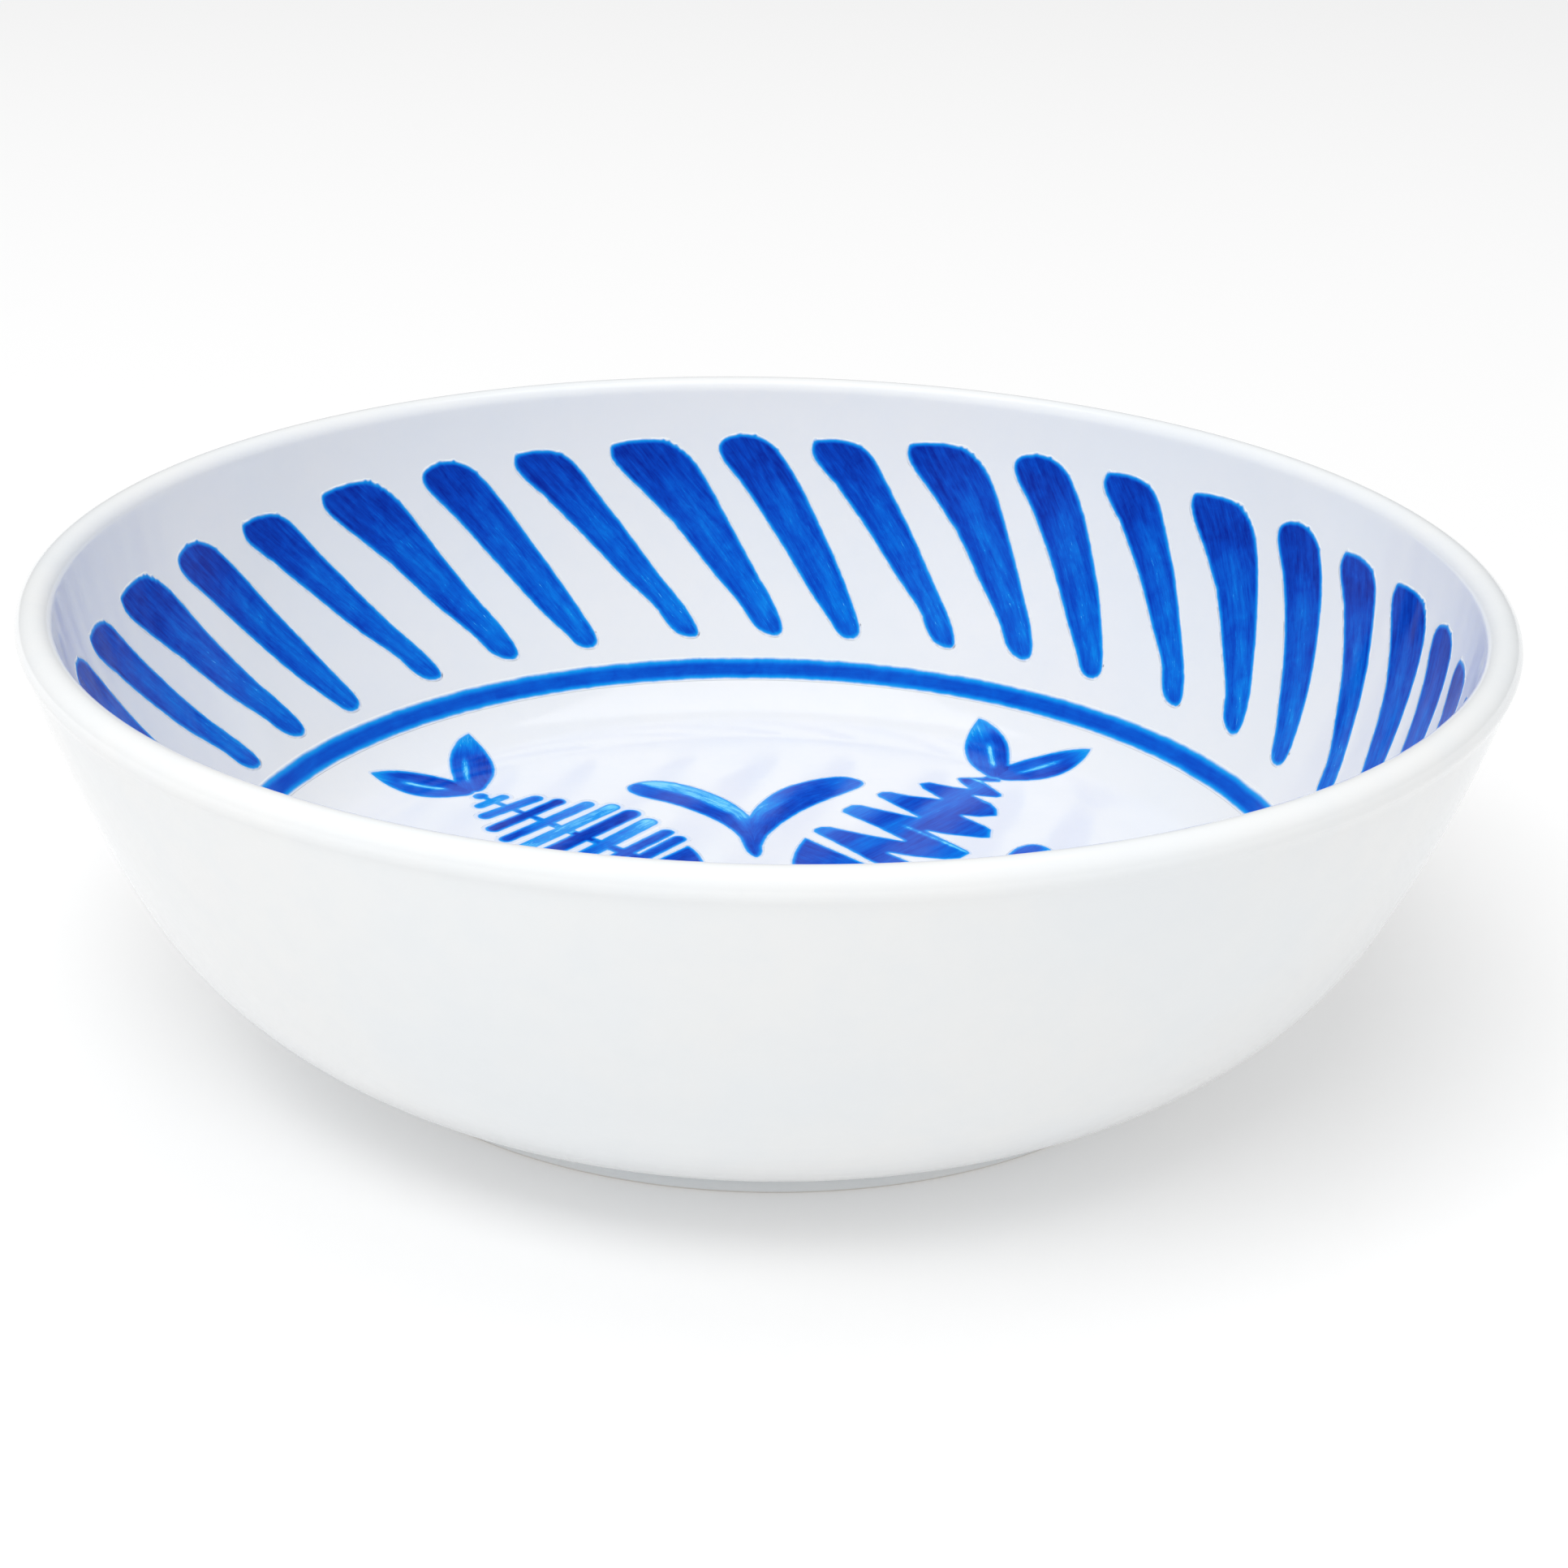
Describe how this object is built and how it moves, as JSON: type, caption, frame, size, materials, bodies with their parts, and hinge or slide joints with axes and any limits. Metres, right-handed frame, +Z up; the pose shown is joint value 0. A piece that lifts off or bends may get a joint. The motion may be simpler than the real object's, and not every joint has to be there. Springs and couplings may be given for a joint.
{
  "type": "serving bowl",
  "caption": "Round open serving bowl on a low foot ring, glazed white, with slanting blue brush strokes under the lip and painted fish and sprigs on the floor",
  "frame": {"origin": "centre of the circle on which the foot ring rests, on the table", "axes": "+Z up along the bowl's axis; +X to the right and -Y towards the viewer"},
  "size_m": [0.3, 0.3, 0.093],
  "materials": {
    "white_glaze": "gloss",
    "stroke_blue": "gloss",
    "line_blue": "gloss",
    "motif_blue": "gloss"
  },
  "bodies": {
    "root": {"bowl_body": "white_glaze", "foot_ring": "white_glaze", "rim_strokes_wide": "stroke_blue", "rim_strokes_medium": "stroke_blue", "rim_strokes_narrow": "stroke_blue", "well_line": "line_blue", "fishbone_heads": "motif_blue", "fishbone_ribs": "motif_blue", "fishbone_tails": "motif_blue", "zigzag_heads": "motif_blue", "zigzag_bodies": "motif_blue", "zigzag_tails": "motif_blue", "sprigs": "motif_blue"}
  },
  "joints": []
}
